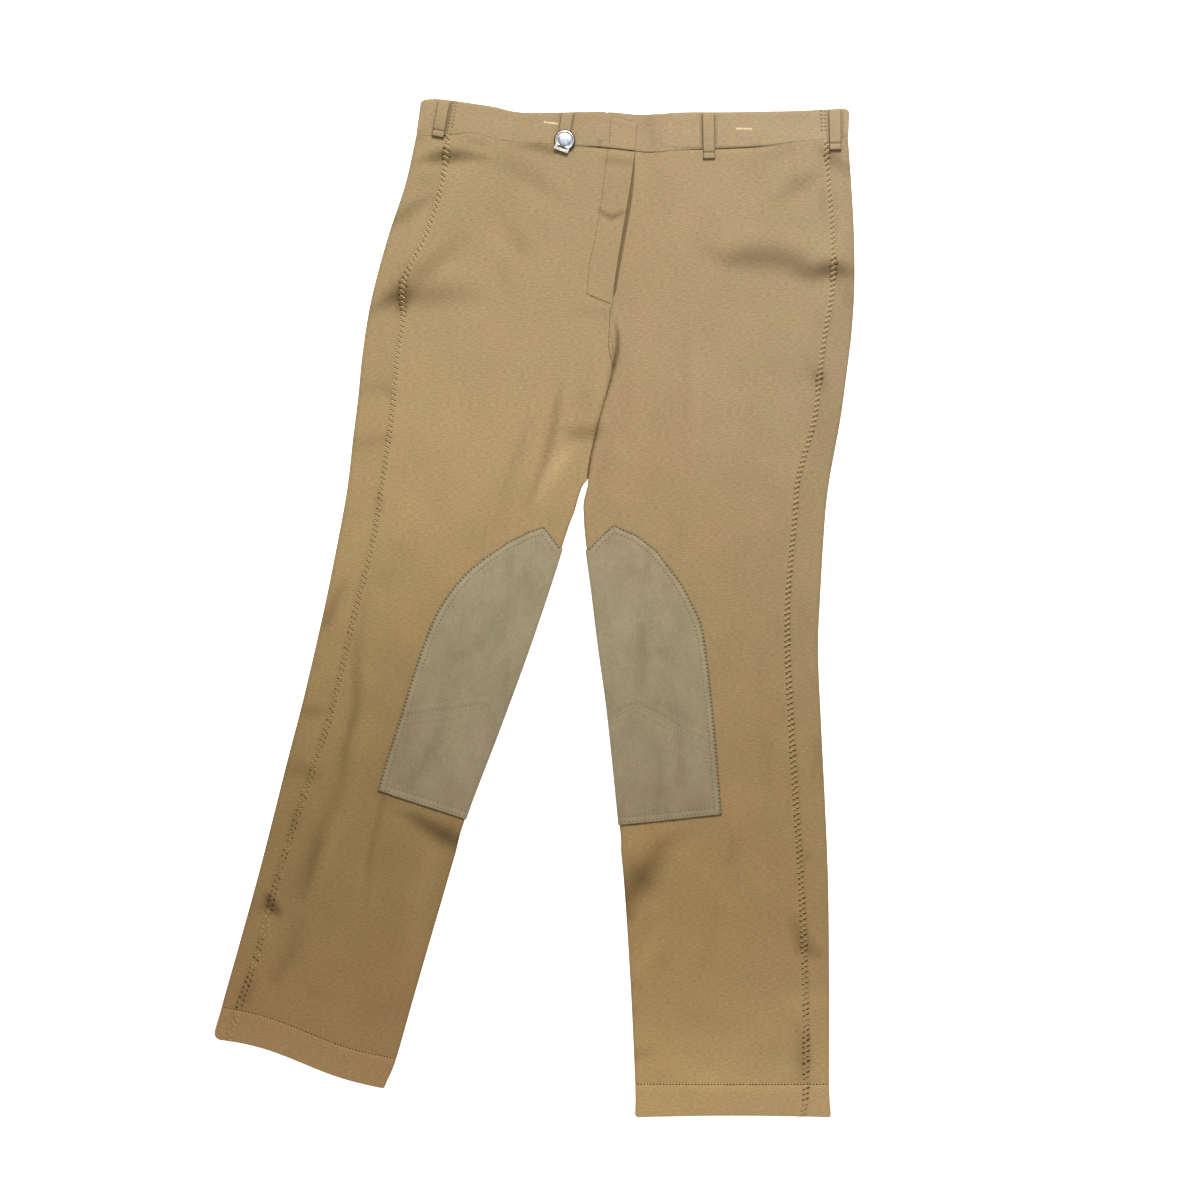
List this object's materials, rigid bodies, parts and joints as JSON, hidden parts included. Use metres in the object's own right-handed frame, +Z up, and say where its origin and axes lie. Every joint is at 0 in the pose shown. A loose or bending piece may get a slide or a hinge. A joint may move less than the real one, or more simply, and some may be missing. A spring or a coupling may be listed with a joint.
{
  "type": "riding breeches",
  "caption": "Riding breeches laid flat, front up, with a fly, waistband with belt loops, suede knee patches and turned hems.",
  "frame": {"origin": "on the table under the middle of the garment's outline", "axes": "+X from the wearer's right leg to the left leg, +Y from the hems to the waist, +Z up off the table, out of the garment's front"},
  "size_m": [0.6071, 0.9659, 0.0093],
  "materials": {
    "twill": "matt tan stretch twill, slightly darker towards the hems",
    "band": "matt tan twill, doubled",
    "suede": "grey-olive napped suede cloth",
    "stitching": "twisted sewing thread, tone on tone, with cream bar tacks",
    "badge": "polished pale metal"
  },
  "bodies": {
    "root": {"front_right": "twill", "front_left": "twill", "back_right": "twill", "back_left": "twill", "waistband_back": "band", "waistband_front_right": "band", "waistband_front_left": "band", "belt_loop_side_right": "band", "belt_loop_front_right": "band", "belt_loop_front_left": "band", "belt_loop_side_left": "band", "knee_patch_upper_right": "suede", "knee_patch_lower_right": "suede", "knee_patch_upper_left": "suede", "knee_patch_lower_left": "suede", "badge": "badge"}
  },
  "joints": []
}
